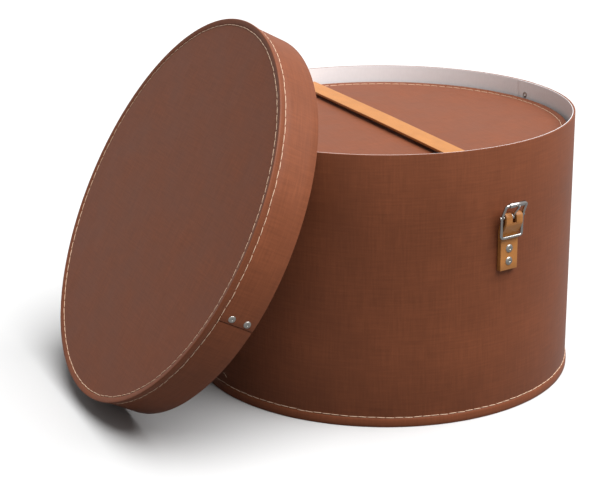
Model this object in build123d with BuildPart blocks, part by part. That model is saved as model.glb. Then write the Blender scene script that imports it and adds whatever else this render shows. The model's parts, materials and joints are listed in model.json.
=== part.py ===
"""Round fibreboard hat box: its lid leans on it, and a smaller strapped box stands inside."""
from build123d import *
from math import asin, atan2, cos, hypot, radians, sin
import os

os.makedirs("parts", exist_ok=True)

# ---- driving dimensions, millimetres and degrees ------------------------------------
BOX_RADIUS = 180.0            # big box, outside of its wall
BOX_HEIGHT = 249.7            # floor to rim
INNER_RADIUS = 168.0          # small box, outside of its wall
INNER_CREST = 233.5           # height of the small box's lid crest
INNER_LIFT_GAP = 0.3          # the small box stands this far above the big box's floor paper

BOARD = 2.0                   # wall board
PAPER = 0.5                   # lining paper
BASE_BOARD = 3.2
BINDING = 1.2                 # board strip folded round the bottom edge
BINDING_HEIGHT = 8.5
BINDING_FOOT = 168.0 / 180.0  # inner edge of the folded-under foot, as a share of the wall radius
BINDING_FOLD = 1.0            # thickness of the folded-under foot
THREAD = 0.7
FIT = 0.05                    # clearance between glued pieces

LID_RADIUS = 182.1            # big lid, outside of its skirt
INNER_LID_RADIUS = 172.6
SKIRT = 40.6                  # crest to open rim
SKIRT_BOARD = 1.35
SKIRT_PAPER = 0.35
CREST = 1.4                   # the bound edge stands proud of the skirt by this much
FACE_DROP = 1.2               # the top board lies this far below the crest
TOP_BOARD = 4.0
BAND = 5.6                    # width of the bound edge down the skirt
STITCH_INSET = 4.5            # face stitching, in from the skirt's outside

LEAN = 28.07                  # tilt of the lid's axis above the horizontal
LEAN_CLEARANCE = 0.4          # between the box rim and the lid's inside

TAB_AZIMUTH = -80.3           # big box: buckle
INNER_TAB_AZIMUTH = -90.0     # small box: buckle
SEAM_AZIMUTH = 8.7            # big box: riveted lap of the wall
INNER_SEAM_AZIMUTH = 35.0
INNER_SEAM_TOP = 207.0        # height of the small box's first seam rivet
INNER_SEAM_PITCH = 47.7
SEAM_RIVETS = 5
SEAM_FIRST = 13.5             # first seam rivet below the rim
SEAM_PITCH = 53.0
LID_SEAM_ANGLE = -14.0        # from the lid's level diameter on the -Y side
INNER_LID_SEAM_ANGLE = 215.0
LID_RIVETS = (17.2, 32.4)     # below the crest
SHANK = 1.5                   # radius of every rivet's shank
DRILL = SHANK + 0.1

BAR_HEIGHT = 187.0            # big box: centre bar of the buckle
INNER_BAR_HEIGHT = 164.8
TAB_WIDTH = 19.6
TAB_END = -49.5               # heights from here on are measured from the centre bar
TAB_RIVETS = (-29.8, -41.3)
SLOT_BOTTOM = -5.0
SLOT_WIDTH = 4.6
HALF_FRAME = 11.6             # centre line of a side bar
TOP_BAR = 12.0
LOW_BAR = -18.6
CORNER = 2.2

STRAP_WIDTH = 20.0
STRAP = 2.2
HOLE_RADIUS = 1.9
OUTER_LEAF = 2.1              # leather of the big box's buckle tab
INNER_LEAF = 1.6
STRAP_FOOT = 128.0            # lower end of the riveted strap on the back
STRAP_RIVETS = (137.0, 151.0)
BOW = 30.0                    # how far out from the wall the strap hangs
BOW_TOP = 206.0
HINGE_HEIGHT = 182.0
STRAP_RUN = 268.0             # length lying on the floor
STRAP_HOLES = 6
STRAP_HOLE_FIRST = 40.0       # first hole, in from the strap's end
STRAP_HOLE_PITCH = 18.0
INNER_STRAP_RIVETS = (130.0, 146.0)


# ---- planes -------------------------------------------------------------------------
def wall_plane(azimuth, radius, height):
    """Plane on a wall: x along the wall, y up, z straight out."""
    a = radians(azimuth)
    spot = (radius * cos(a), radius * sin(a), height)
    return Plane(origin=spot, x_dir=(-sin(a), cos(a), 0), z_dir=(cos(a), sin(a), 0))


def side_plane(plane):
    """Plane across a wall plane: x straight out, y up, for profiles seen along the wall."""
    return Plane(origin=plane.origin, x_dir=plane.z_dir, z_dir=-plane.x_dir)


def half_section(plane):
    """Plane through a round piece's axis: x is the radius, y runs along the axis."""
    return Plane(origin=plane.origin, x_dir=plane.x_dir, z_dir=-plane.y_dir)


def around(plane, angle, radius, along):
    """Plane on a round skirt whose axis is plane.z: x round the skirt, z straight out."""
    a = radians(angle)
    out = plane.x_dir * cos(a) + plane.y_dir * sin(a)
    spot = plane.origin + out * radius + plane.z_dir * along
    return Plane(origin=spot, x_dir=out.cross(plane.z_dir) * -1, z_dir=out)


lean_sin, lean_cos = sin(radians(LEAN)), cos(radians(LEAN))
lid_depth = FACE_DROP + TOP_BOARD + PAPER
lid_height = LID_RADIUS * lean_cos + SKIRT * lean_sin
lid_reach = BOX_RADIUS + ((BOX_HEIGHT - lid_height) * lean_sin + lid_depth + LEAN_CLEARANCE) / lean_cos
LID_PLANE = Plane(origin=(-lid_reach, 0, lid_height), x_dir=(0, -1, 0), z_dir=(-lean_cos, 0, lean_sin))
INNER_LID_PLANE = Plane.XY.offset(INNER_CREST)


# ---- shared makers ------------------------------------------------------------------
def finish(piece, name):
    piece.part.label = name
    export_step(piece.part, f"parts/{name}.step")


def drill(planes, radius, depth):
    """Rivet holes through whatever lies within depth below each plane."""
    for plane in planes:
        with BuildSketch(plane.offset(6)) as hole:
            Circle(radius)
        extrude(hole.sketch, amount=-(depth + 6), mode=Mode.SUBTRACT)


def ring(plane, inner, outer, low, high):
    with BuildSketch(plane.offset(low)) as outline:
        Circle(outer)
        if inner:
            Circle(inner, mode=Mode.SUBTRACT)
    extrude(outline.sketch, amount=high - low)


def thread_loop(plane, radius, along):
    """One continuous thread laid round a piece."""
    with BuildSketch(half_section(plane)) as section:
        with Locations((radius, along)):
            Circle(THREAD / 2)
    revolve(section.sketch, axis=Axis(plane.origin, plane.z_dir))


def rivets(name, planes, grip, head, crown=1.1):
    """Domed rivets with a dimple in the head and a flat clenched tail."""
    seat, edge, tail_height = 0.06, 0.35, 0.35
    tail = head * 0.8
    with BuildPart() as group:
        for plane in planes:
            with BuildSketch(half_section(plane)):
                with BuildLine():
                    foot = -grip - tail_height
                    Polyline((0, foot), (tail, foot), (tail, -grip), (SHANK, -grip),
                             (SHANK, seat), (head, seat), (head, edge))
                    ThreePointArc((head, edge), (head * 0.75, crown * 0.8), (0.9, crown))
                    Polyline((0.9, crown), (0.4, crown - 0.35), (0, crown - 0.35), (0, foot))
                make_face()
            revolve(axis=Axis(plane.origin, plane.z_dir))
    finish(group, name)


# ---- boxes --------------------------------------------------------------------------
def make_box(prefix, radius, floor, rim, holes):
    """A drum: lapped wall, base let into it, linings, bound and stitched bottom edge."""
    base_top = floor + BASE_BOARD
    foot = radius * BINDING_FOOT
    through = BOARD + PAPER + 1
    bottom = Plane.XY.offset(floor)

    with BuildPart() as wall:
        ring(Plane.XY, radius - BOARD, radius, floor + BINDING_FOLD, rim)
        drill(holes, DRILL, through)
    finish(wall, f"{prefix}_wall")

    with BuildPart() as wall_lining:
        bore = radius - BOARD - PAPER
        ring(Plane.XY, bore, radius - BOARD - FIT, base_top + PAPER + FIT, rim - 0.5)
        drill(holes, DRILL, through)
    finish(wall_lining, f"{prefix}_wall_lining")

    with BuildPart() as base:
        ring(bottom, 0, foot - FIT, 0, BASE_BOARD)
        ring(bottom, 0, radius - BOARD - FIT, BINDING_FOLD, BASE_BOARD)
    finish(base, f"{prefix}_base")

    with BuildPart() as base_lining:
        ring(Plane.XY, 0, radius - BOARD - 2 * FIT, base_top, base_top + PAPER)
    finish(base_lining, f"{prefix}_base_lining")

    with BuildPart() as binding:
        with BuildSketch(half_section(bottom)):
            with BuildLine():
                outside = radius + BINDING
                Polyline((foot, 0), (outside - BINDING / 2, 0))
                ThreePointArc((outside - BINDING / 2, 0), (outside, BINDING_HEIGHT / 2),
                              (outside - 0.2, BINDING_HEIGHT))
                Polyline((outside - 0.2, BINDING_HEIGHT), (radius, BINDING_HEIGHT),
                         (radius, BINDING_FOLD), (foot, BINDING_FOLD), (foot, 0))
            make_face()
        revolve(axis=Axis.Z)
    finish(binding, f"{prefix}_base_binding")

    with BuildPart() as stitching:
        thread_loop(bottom, radius + THREAD / 2, BINDING_HEIGHT + THREAD)
    finish(stitching, f"{prefix}_base_stitching")


def make_lid(prefix, plane, radius, seam_angle):
    """A lid in a plane at its crest, plane.z pointing out of its top."""
    bore = radius - SKIRT_BOARD - SKIRT_PAPER
    seam = [around(plane, seam_angle, radius, -drop) for drop in LID_RIVETS]
    under = FACE_DROP + TOP_BOARD

    with BuildPart() as wall:
        ring(plane, radius - SKIRT_BOARD, radius, -SKIRT, -under)
        drill(seam, DRILL, SKIRT_BOARD + 2)
    finish(wall, f"{prefix}_wall")

    with BuildPart() as wall_lining:
        ring(plane, bore, radius - SKIRT_BOARD - FIT, -SKIRT + 0.5, -under - PAPER - FIT)
        drill(seam, DRILL, SKIRT_BOARD + 2)
    finish(wall_lining, f"{prefix}_wall_lining")

    with BuildPart() as top:
        ring(plane, 0, radius - FIT, -under, -FACE_DROP)
    finish(top, f"{prefix}_top")

    with BuildPart() as top_lining:
        ring(plane, 0, radius - SKIRT_BOARD - 2 * FIT, -under - PAPER, -under)
    finish(top_lining, f"{prefix}_top_lining")

    with BuildPart() as binding:
        valley = radius - STITCH_INSET + 0.6
        crest = radius + CREST
        with BuildSketch(half_section(plane)):
            with BuildLine():
                Polyline((radius, -FACE_DROP), (valley, -FACE_DROP), (valley + 0.6, -0.7),
                         (radius - 0.6, -0.1), (crest - 0.6, 0))
                ThreePointArc((crest - 0.6, 0), (crest - 0.15, -0.2), (crest, -0.7))
                ThreePointArc((crest, -0.7), (crest - 0.15, -BAND / 2), (radius + 0.6, -BAND))
                Polyline((radius + 0.6, -BAND), (radius, -BAND - 0.2), (radius, -FACE_DROP))
            make_face()
        revolve(axis=Axis(plane.origin, plane.z_dir))
    finish(binding, f"{prefix}_edge_binding")

    with BuildPart() as face_stitching:
        thread_loop(plane, radius - STITCH_INSET, -FACE_DROP + THREAD / 2)
    finish(face_stitching, f"{prefix}_face_stitching")

    with BuildPart() as side_stitching:
        thread_loop(plane, radius + THREAD / 2, -BAND - 0.4 - THREAD)
    finish(side_stitching, f"{prefix}_side_stitching")

    rivets(f"{prefix}_seam_rivets", seam, SKIRT_BOARD + SKIRT_PAPER + FIT, 3.3)


# ---- buckles ------------------------------------------------------------------------
def make_buckle(prefix, bar_plane, leaf, bar_depth, top_depth, low_depth, wire, roller, pin, reach):
    """Leather tab and roller buckle on a wall plane at the height of the centre bar.

    leaf is the tab's leather, the depths are each bar's distance out from the wall, and wire,
    roller and pin are radii of the frame's wire, the roller and the prong.
    """
    across = bar_plane.x_dir
    profile = side_plane(bar_plane)
    bore = wire + 0.15
    loop = bore + leaf
    front = 2 * leaf + FIT
    back = FIT

    with BuildPart() as tab:
        with BuildSketch(profile):
            with BuildLine():
                Line((back, TAB_END), (back, -13))
                Spline((back, -13), (bar_depth - loop, 0), tangents=[(0, 1), (0, 1)])
                ThreePointArc((bar_depth - loop, 0), (bar_depth, loop), (bar_depth + loop, 0))
                Spline((bar_depth + loop, 0), (front, -16), tangents=[(0, -1), (0, -1)])
                Polyline((front, -16), (front, TAB_END), (back, TAB_END))
            make_face()
            with BuildLine():
                ThreePointArc((bar_depth - bore, 0), (bar_depth, bore), (bar_depth + bore, 0))
                Spline((bar_depth + bore, 0), (leaf + 0.15, -14.5), tangents=[(0, -1), (0, -1)])
                Line((leaf + 0.15, -14.5), (leaf - 0.05, -14.5))
                Spline((leaf - 0.05, -14.5), (bar_depth - bore, 0), tangents=[(0, 1), (0, 1)])
            make_face(mode=Mode.SUBTRACT)
        extrude(amount=TAB_WIDTH / 2, both=True)
        with BuildSketch(bar_plane.offset(-1)):
            with Locations((0, SLOT_BOTTOM + 8)):
                Rectangle(SLOT_WIDTH, 16)
        extrude(amount=bar_depth + loop + 2, mode=Mode.SUBTRACT)
        for drop in TAB_RIVETS:
            with BuildSketch(bar_plane.offset(-1)):
                with Locations((0, drop)):
                    Circle(DRILL)
            extrude(amount=front + 2, mode=Mode.SUBTRACT)
    finish(tab, f"{prefix}_tab")

    def bar_point(side, height, depth):
        return bar_plane.from_local_coords(Vector(side, height, depth))

    with BuildPart() as frame:
        corners = [(-1, LOW_BAR, low_depth), (1, LOW_BAR, low_depth), (1, 0, bar_depth),
                   (1, TOP_BAR, top_depth), (-1, TOP_BAR, top_depth), (-1, 0, bar_depth)]
        with BuildLine() as outline:
            FilletPolyline(*[bar_point(side * HALF_FRAME, height, depth)
                             for side, height, depth in corners], radius=CORNER, close=True)
        with BuildSketch(Plane(outline.line @ 0, z_dir=outline.line % 0)):
            Circle(wire)
        sweep(path=outline.line)
        with BuildSketch(Plane(bar_point(-HALF_FRAME - wire - 0.8, 0, bar_depth), z_dir=across)):
            Circle(wire)
        extrude(amount=2 * (HALF_FRAME + wire + 0.8))
    finish(frame, f"{prefix}_frame")

    with BuildPart() as tube:
        with BuildSketch(Plane(bar_point(-8.1, TOP_BAR, top_depth), z_dir=across)):
            Circle(roller)
            Circle(wire + 0.08, mode=Mode.SUBTRACT)
        extrude(amount=17.3)
    finish(tube, f"{prefix}_roller")

    rise, out = TOP_BAR, top_depth - bar_depth
    tilt = atan2(out, rise) + asin((roller + pin + 0.3) / hypot(out, rise))
    heading = bar_plane.y_dir * cos(tilt) + bar_plane.z_dir * sin(tilt)
    pivot = bar_point(0, 0, bar_depth)
    eye = wire + 0.08
    with BuildPart() as prong:
        with BuildSketch(Plane(pivot - across * (SLOT_WIDTH / 2 - 0.6), z_dir=across)):
            Circle(eye + pin)
            Circle(eye, mode=Mode.SUBTRACT)
        extrude(amount=SLOT_WIDTH - 1.2)
        with BuildSketch(Plane(pivot + heading * (eye + 0.3), z_dir=heading)):
            Circle(pin)
        extrude(amount=reach - eye - 0.3)
        with Locations(Location(pivot + heading * reach)):
            Sphere(pin)
    finish(prong, f"{prefix}_prong")


def strap_part(plane, points, radii, thickness, holes, hole_planes):
    """A strap of one thickness swept along a bent line in a side plane."""
    with BuildLine(plane) as path:
        FilletPolyline(*points, radius=radii)
    start = Plane(path.line @ 0, x_dir=plane.z_dir, z_dir=path.line % 0)
    with BuildSketch(start) as section:
        Rectangle(STRAP_WIDTH, thickness)
    sweep(section.sketch, path=path.line)
    for radius, hole_plane in zip(holes, hole_planes):
        with BuildSketch(hole_plane.offset(-5)) as hole:
            Circle(radius)
        extrude(hole.sketch, amount=12, mode=Mode.SUBTRACT)
    return path.wires()[0].length


# ---- big box ------------------------------------------------------------------------
outer_grip = BOARD + PAPER + FIT
seam_planes = [wall_plane(SEAM_AZIMUTH, BOX_RADIUS, BOX_HEIGHT - SEAM_FIRST - SEAM_PITCH * i)
               for i in range(SEAM_RIVETS)]
bar_plane = wall_plane(TAB_AZIMUTH, BOX_RADIUS, BAR_HEIGHT)
tab_holes = [wall_plane(TAB_AZIMUTH, BOX_RADIUS, BAR_HEIGHT + drop) for drop in TAB_RIVETS]
back_azimuth = TAB_AZIMUTH + 180
strap_holes = [wall_plane(back_azimuth, BOX_RADIUS, height) for height in STRAP_RIVETS]

make_box("outer", BOX_RADIUS, 0, BOX_HEIGHT, seam_planes + tab_holes + strap_holes)
rivets("outer_seam_rivets", seam_planes, outer_grip, 3.3)

make_buckle("buckle", bar_plane, leaf=OUTER_LEAF, bar_depth=6.6, top_depth=12.0, low_depth=6.2,
            wire=1.4, roller=2.2, pin=1.05, reach=14.4)
tab_heads = [wall_plane(TAB_AZIMUTH, BOX_RADIUS + 2 * OUTER_LEAF + FIT, BAR_HEIGHT + drop)
             for drop in TAB_RIVETS]
rivets("buckle_tab_rivets", tab_heads, outer_grip + 2 * OUTER_LEAF + FIT, 3.8, crown=1.5)

# the big box's own strap: riveted on the back, it bows over and hangs down to the floor
strap_plane = side_plane(wall_plane(back_azimuth, BOX_RADIUS, 0))
on_wall = FIT + STRAP / 2
joint_gap = STRAP / 2 + 0.3
with BuildPart() as strap_root:
    root_length = strap_part(
        strap_plane, [(on_wall, STRAP_FOOT), (on_wall, BOW_TOP), (BOW, BOW_TOP),
                      (BOW, HINGE_HEIGHT + joint_gap)],
        BOW / 2 - 1, STRAP, [DRILL] * 2, strap_holes)
finish(strap_root, "carry_strap_root")

floor_line = STRAP / 2
hole_spots = [BOW + STRAP_RUN - STRAP_HOLE_FIRST - STRAP_HOLE_PITCH * i for i in range(STRAP_HOLES)]
back_out = wall_plane(back_azimuth, 1, 0).z_dir
hole_tops = [Plane(origin=back_out * (BOX_RADIUS + spot), z_dir=(0, 0, 1)) for spot in hole_spots]
with BuildPart() as strap_tail:
    tail_length = strap_part(
        strap_plane, [(BOW, HINGE_HEIGHT), (BOW, floor_line), (BOW + STRAP_RUN, floor_line)],
        24, STRAP, [HOLE_RADIUS] * STRAP_HOLES, hole_tops)
    knuckle = strap_plane.from_local_coords(Vector(BOW, HINGE_HEIGHT, -STRAP_WIDTH / 2))
    with BuildSketch(Plane(knuckle, z_dir=strap_plane.z_dir)):
        Circle(STRAP / 2)
    extrude(amount=STRAP_WIDTH)
finish(strap_tail, "carry_strap")

strap_heads = [wall_plane(back_azimuth, BOX_RADIUS + STRAP + FIT, height) for height in STRAP_RIVETS]
rivets("carry_strap_rivets", strap_heads, outer_grip + STRAP + FIT, 3.8, crown=1.5)

# ---- lid, leaning on the big box ----------------------------------------------------
make_lid("lid", LID_PLANE, LID_RADIUS, LID_SEAM_ANGLE)

# ---- small box ----------------------------------------------------------------------
inner_floor = BASE_BOARD + PAPER + INNER_LIFT_GAP
inner_rim = INNER_CREST - lid_depth - FIT
inner_seam = [wall_plane(INNER_SEAM_AZIMUTH, INNER_RADIUS, INNER_SEAM_TOP - INNER_SEAM_PITCH * i)
              for i in range(SEAM_RIVETS - 1)]
inner_bar = wall_plane(INNER_TAB_AZIMUTH, INNER_RADIUS, INNER_BAR_HEIGHT)
inner_tab_holes = [wall_plane(INNER_TAB_AZIMUTH, INNER_RADIUS, INNER_BAR_HEIGHT + drop)
                   for drop in TAB_RIVETS]
inner_strap_holes = [wall_plane(-INNER_TAB_AZIMUTH, INNER_RADIUS, height)
                     for height in INNER_STRAP_RIVETS]

make_box("inner", INNER_RADIUS, inner_floor, inner_rim, inner_seam + inner_tab_holes + inner_strap_holes)
rivets("inner_seam_rivets", inner_seam, outer_grip, 3.3)
make_lid("inner_lid", INNER_LID_PLANE, INNER_LID_RADIUS, INNER_LID_SEAM_ANGLE)

make_buckle("inner_buckle", inner_bar, leaf=INNER_LEAF, bar_depth=3.0, top_depth=4.7, low_depth=7.1,
            wire=1.1, roller=1.8, pin=0.85, reach=12.8)
inner_tab_heads = [wall_plane(INNER_TAB_AZIMUTH, INNER_RADIUS + 2 * INNER_LEAF + FIT,
                              INNER_BAR_HEIGHT + drop) for drop in TAB_RIVETS]
rivets("inner_buckle_tab_rivets", inner_tab_heads, outer_grip + 2 * INNER_LEAF + FIT, 3.3)

# the small box's strap: up the back, over the lid, down through the buckle
over_skirt = INNER_LID_RADIUS + CREST + 0.3 + STRAP / 2 - INNER_RADIUS
over_top = INNER_CREST + 1.6 + STRAP / 2
ARCH = 0.8
under_roller = 0.35 + STRAP / 2
over_bar = 7.4
in_front = 2 * INNER_LEAF + 0.35 + STRAP / 2
front_line = [(in_front, -25), (in_front, -14), (over_bar, -0.5), (6.7, 3.8), (under_roller, 10.2),
              (under_roller, 17), (over_skirt, 30)]
points = [(-INNER_RADIUS - out, INNER_BAR_HEIGHT + height) for out, height in front_line]
corner = INNER_RADIUS + over_skirt
points += [(-corner, over_top), (0, over_top + ARCH), (corner, over_top),
           (corner, 188), (INNER_RADIUS + on_wall, 166), (INNER_RADIUS + on_wall, 121)]
turns = [4, 4, 2, 2.5, 2.5, 6, 4, 300, 4, 12, 12]
across_boxes = Plane(origin=(0, 0, 0), x_dir=(0, 1, 0), z_dir=(1, 0, 0))
with BuildPart() as inner_strap:
    inner_length = strap_part(across_boxes, points, turns, STRAP, [DRILL] * 2, inner_strap_holes)
    with BuildSketch(inner_bar):
        with Locations((0, 6.6)):
            SlotOverall(9.6, 2.6, rotation=90)
    extrude(amount=12, mode=Mode.SUBTRACT)
    for height in (36.0, 54.0):
        with BuildSketch(inner_bar):
            with Locations((0, height)):
                Circle(HOLE_RADIUS)
        extrude(amount=12, mode=Mode.SUBTRACT)
finish(inner_strap, "inner_strap")

inner_strap_heads = [wall_plane(-INNER_TAB_AZIMUTH, INNER_RADIUS + STRAP + FIT, height)
                     for height in INNER_STRAP_RIVETS]
rivets("inner_strap_rivets", inner_strap_heads, outer_grip + STRAP + FIT, 3.8, crown=1.4)

print("lid crest centre", LID_PLANE.origin, "strap lengths", root_length + tail_length, inner_length)
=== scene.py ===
"""Fibreboard hat box with its lid leaning on it and a small strapped box nested inside."""

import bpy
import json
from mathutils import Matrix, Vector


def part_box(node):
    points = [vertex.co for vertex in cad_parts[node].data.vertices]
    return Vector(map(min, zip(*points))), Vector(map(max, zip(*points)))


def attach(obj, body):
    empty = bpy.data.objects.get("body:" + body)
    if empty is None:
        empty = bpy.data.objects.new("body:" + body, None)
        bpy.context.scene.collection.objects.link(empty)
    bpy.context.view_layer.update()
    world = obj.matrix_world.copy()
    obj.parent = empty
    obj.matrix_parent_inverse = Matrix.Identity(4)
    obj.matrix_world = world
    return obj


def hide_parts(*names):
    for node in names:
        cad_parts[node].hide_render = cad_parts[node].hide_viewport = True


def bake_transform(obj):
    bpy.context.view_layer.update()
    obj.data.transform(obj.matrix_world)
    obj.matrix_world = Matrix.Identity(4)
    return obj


bl_info = {
    "name": "Fibreboard hat box",
    "version": (1, 0, 0),
    "blender": (4, 5, 0),
    "location": "3D View > Sidebar > Hat Box",
    "description": "Dresses the packed hat box in board, paper, leather, thread and plated metal",
    "category": "Object",
}

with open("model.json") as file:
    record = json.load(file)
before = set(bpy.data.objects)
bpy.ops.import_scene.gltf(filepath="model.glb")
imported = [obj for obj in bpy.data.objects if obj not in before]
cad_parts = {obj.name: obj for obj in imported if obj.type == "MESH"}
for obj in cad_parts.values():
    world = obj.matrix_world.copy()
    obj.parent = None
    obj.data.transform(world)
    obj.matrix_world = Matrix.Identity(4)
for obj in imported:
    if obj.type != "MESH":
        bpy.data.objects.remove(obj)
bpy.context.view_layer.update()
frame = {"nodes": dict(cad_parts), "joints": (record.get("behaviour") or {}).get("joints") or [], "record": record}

import json
import math
import random

import bmesh
import bpy
from mathutils import Matrix, Vector

MM = 0.001
TURN = 2 * math.pi


# ---- places, all read from the frame ----
def extent(node):
    low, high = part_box(node)
    return Vector(low), Vector(high)


def joint(name):
    found = next((j for j in frame["joints"] if j["name"] == name), None)
    if found is None:
        raise KeyError(f"the frame has no joint named {name}")
    return found


def upright(azimuth, radius, height):
    """Axes on a wall: x along the wall, y up, z straight out."""
    along = Vector((-math.sin(azimuth), math.cos(azimuth), 0))
    out = Vector((math.cos(azimuth), math.sin(azimuth), 0))
    axes = Matrix((along, Vector((0, 0, 1)), out)).transposed().to_4x4()
    return Matrix.Translation(out * radius + Vector((0, 0, height))) @ axes


def centre_azimuth(node):
    low, high = extent(node)
    middle = (low + high) / 2
    return math.atan2(middle.y, middle.x)


def lid_axes(node, thickness):
    """Axes at the outer face of a lid's top board: z out of the lid, x level."""
    low, high = extent(node)
    size = high - low
    lean = math.atan2(size.y * size.x - thickness * size.z, size.y * size.z - thickness * size.x)
    if size.z < size.x / 10:
        lean = math.pi / 2
    out = Vector((-math.cos(lean), 0, math.sin(lean)))
    level = Vector((0, -1, 0))
    axes = Matrix((level, out.cross(level), out)).transposed().to_4x4()
    return Matrix.Translation((low + high) / 2 + out * thickness / 2) @ axes


BIG_RADIUS = extent("outer_wall")[1].x
SMALL_RADIUS = extent("inner_wall")[1].x
TOP_BOARD = extent("inner_lid_top")[1].z - extent("inner_lid_top")[0].z
SKIRT = extent("inner_lid_top")[0].z - extent("inner_lid_wall")[0].z
LID_RADIUS = extent("lid_top")[1].y
INNER_LID_RADIUS = extent("inner_lid_wall")[1].x
TAB_AZIMUTH = centre_azimuth("buckle_tab")
SEAM_AZIMUTH = centre_azimuth("outer_seam_rivets")
INNER_SEAM_AZIMUTH = centre_azimuth("inner_seam_rivets")
BACK_AZIMUTH = centre_azimuth("carry_strap_rivets")
LID_FACE = lid_axes("lid_top", TOP_BOARD)
INNER_LID_FACE = lid_axes("inner_lid_top", TOP_BOARD)
FRONT, REAR = -math.pi / 2, math.pi / 2       # bearings of the small box's buckle and strap end
UPRIGHT = Matrix.Identity(4)

# ---- making sizes that the frame does not fix ----
WALL_BOARD, LINING = 2.0 * MM, 0.5 * MM
SKIRT_BOARD, SKIRT_PAPER = 1.35 * MM, 0.35 * MM
BINDING_FOLD = 1.0 * MM           # the binding's leaf under the base board
BINDING_REACH = 168 / 180         # how far in that leaf stops, as a share of the radius
LAP_RUN = math.radians(38)        # a lapped end sinks back to the wall over this much turn
LAP_OVER, LID_LAP_OVER = 11 * MM, 9 * MM      # a lapping end runs on past its seam by this much
LID_SEAM, LID_RIVETS = math.radians(-15.5), math.radians(-14)
INNER_LID_SEAM, INNER_LID_RIVETS = math.radians(303.5), math.radians(305)
LID_RIVET_DROPS = (16.0 * MM, 31.2 * MM)      # below the lid's face
FACE_ROW, SIDE_ROW = 4.5 * MM, 5.3 * MM       # stitches: in from the rim, down from the face
THREAD_LIFT = 0.32                # of the thread's thickness, that it stands above the board
THREAD_END = math.radians(-171.5)
SEAM_HEAD, STRAP_HEAD = 3.3 * MM, 3.8 * MM    # radii of the rivet heads
DRAWN_SEAM_HEAD = 3.290775 * MM   # the same 3.3 mm head as the frame's facets draw it
SEAM_CROWN, STRAP_CROWN = 1.1 * MM, 1.35 * MM
GRIP, LID_GRIP = 2.55 * MM, 2.3 * MM          # board and paper that a rivet clenches
HALF_FRAME, TOP_BAR, LOW_BAR = 11.6 * MM, 12.0 * MM, -18.6 * MM
TAB_END, TAB_WIDTH, TAB_SLOT = -49.5 * MM, 19.6 * MM, 4.6 * MM
STRAP_WIDTH, STRAP_THICK = 20 * MM, 2.2 * MM
FIT = 0.05 * MM                   # air between leather and what it lies on
STRAP_ON_FLOOR = 268 * MM
STRAP_HOLES, FIRST_HOLE, HOLE_PITCH = 6, 40 * MM, 18 * MM

# ---- light and camera ----
KEY_HEADING = (-0.60, 0.62, -1.9)
CAMERA_PLACE = (-0.70156, -1.34464, 0.61312)
CAMERA_HEADING = (0.39485, 0.8640, -0.3124)
CAMERA_ROLL = math.radians(-0.5)
FLOOR_HALF = 14
WHITE = (1, 1, 1, 1)


# ---- sizes and colours a user would change ----
def length(name, description, default_mm):
    return bpy.props.FloatProperty(name=name, description=description, default=default_mm * MM,
                                   unit="LENGTH", subtype="DISTANCE", precision=5)


def amount(name, description, default, min=0, **kind):
    return bpy.props.FloatProperty(name=name, description=description, default=default, min=min,
                                   **kind)


def colour(name, description, hex_colour):
    return bpy.props.FloatVectorProperty(name=name, description=description, subtype="COLOR",
                                         size=3, min=0, max=1, default=linear(hex_colour))


def linear(hex_colour):
    """An sRGB hex colour as linear red, green and blue."""
    parts = [(hex_colour >> shift & 255) / 255 for shift in (16, 8, 0)]
    return tuple(p / 12.92 if p <= 0.04045 else ((p + 0.055) / 1.055) ** 2.4 for p in parts)


class HatBoxSizes(bpy.types.PropertyGroup):
    """Making sizes that the frame does not fix."""
    lap_step: length("Lap step", "How far a lapped board end stands proud of its seam", 0.55)
    edge_round: length("Edge round", "Rounding of the cut board edges", 0.3)
    leather_round: length("Leather round", "Rounding of the leather's cut edges", 0.45)
    stitch_pitch: length("Stitch pitch", "From one stitch hole to the next", 8.2)
    seam_gap: length("Seam gap", "Between the two ends of a board bent round", 0.6)
    stitch_gap: length("Stitch gap", "Bare board between two stitches", 0.12)
    thread: length("Thread", "Thickness of the sewing thread", 0.68)
    stitch_wander: length("Stitch wander", "How far stitches stray from their line", 0.3)
    prong_hole: length("Prong hole", "Diameter of the holes punched in the straps", 3.8)


class HatBoxColours(bpy.types.PropertyGroup):
    """Colours of the materials."""
    board: colour("Board", "Dyed fibreboard", 0x774229)
    board_edge: colour("Board edge", "Rubbed edges of the board", 0x6E3C28)
    paper: colour("Paper", "Lining paper", 0xECEAEB)
    leather: colour("Leather", "Tan leather, grain side", 0xB27438)
    leather_edge: colour("Leather edge", "Cut and burnished leather edge", 0x70421E)
    thread: colour("Thread", "Waxed linen thread", 0xDDBDA2)
    plating: colour("Plating", "Chromed steel", 0xA8A5A2)
    rivet: colour("Rivet", "Nickel plated rivet", 0xA6A39E)
    floor: colour("Floor", "Studio floor as it is seen", 0xC6C6C6)
    floor_bounce: colour("Floor bounce", "Studio floor as it throws light back", 0x808080)


class HatBoxStage(bpy.types.PropertyGroup):
    """Light and camera."""
    key: amount("Key", "Strength of the soft light above right", 6.3)
    key_spread: amount("Key spread", "How wide the key light is", math.radians(62),
                       subtype="ANGLE", unit="ROTATION")
    fill: amount("Fill", "Strength of the light from all round", 0.23, subtype="FACTOR")
    backdrop: amount("Backdrop", "White seen in reflections", 0.7, subtype="FACTOR")
    lens: amount("Lens", "Focal length of the camera", 98.56, unit="CAMERA", min=1)


def sizes():
    return bpy.context.scene.hat_box_sizes


def colours():
    return bpy.context.scene.hat_box_colours


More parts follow.
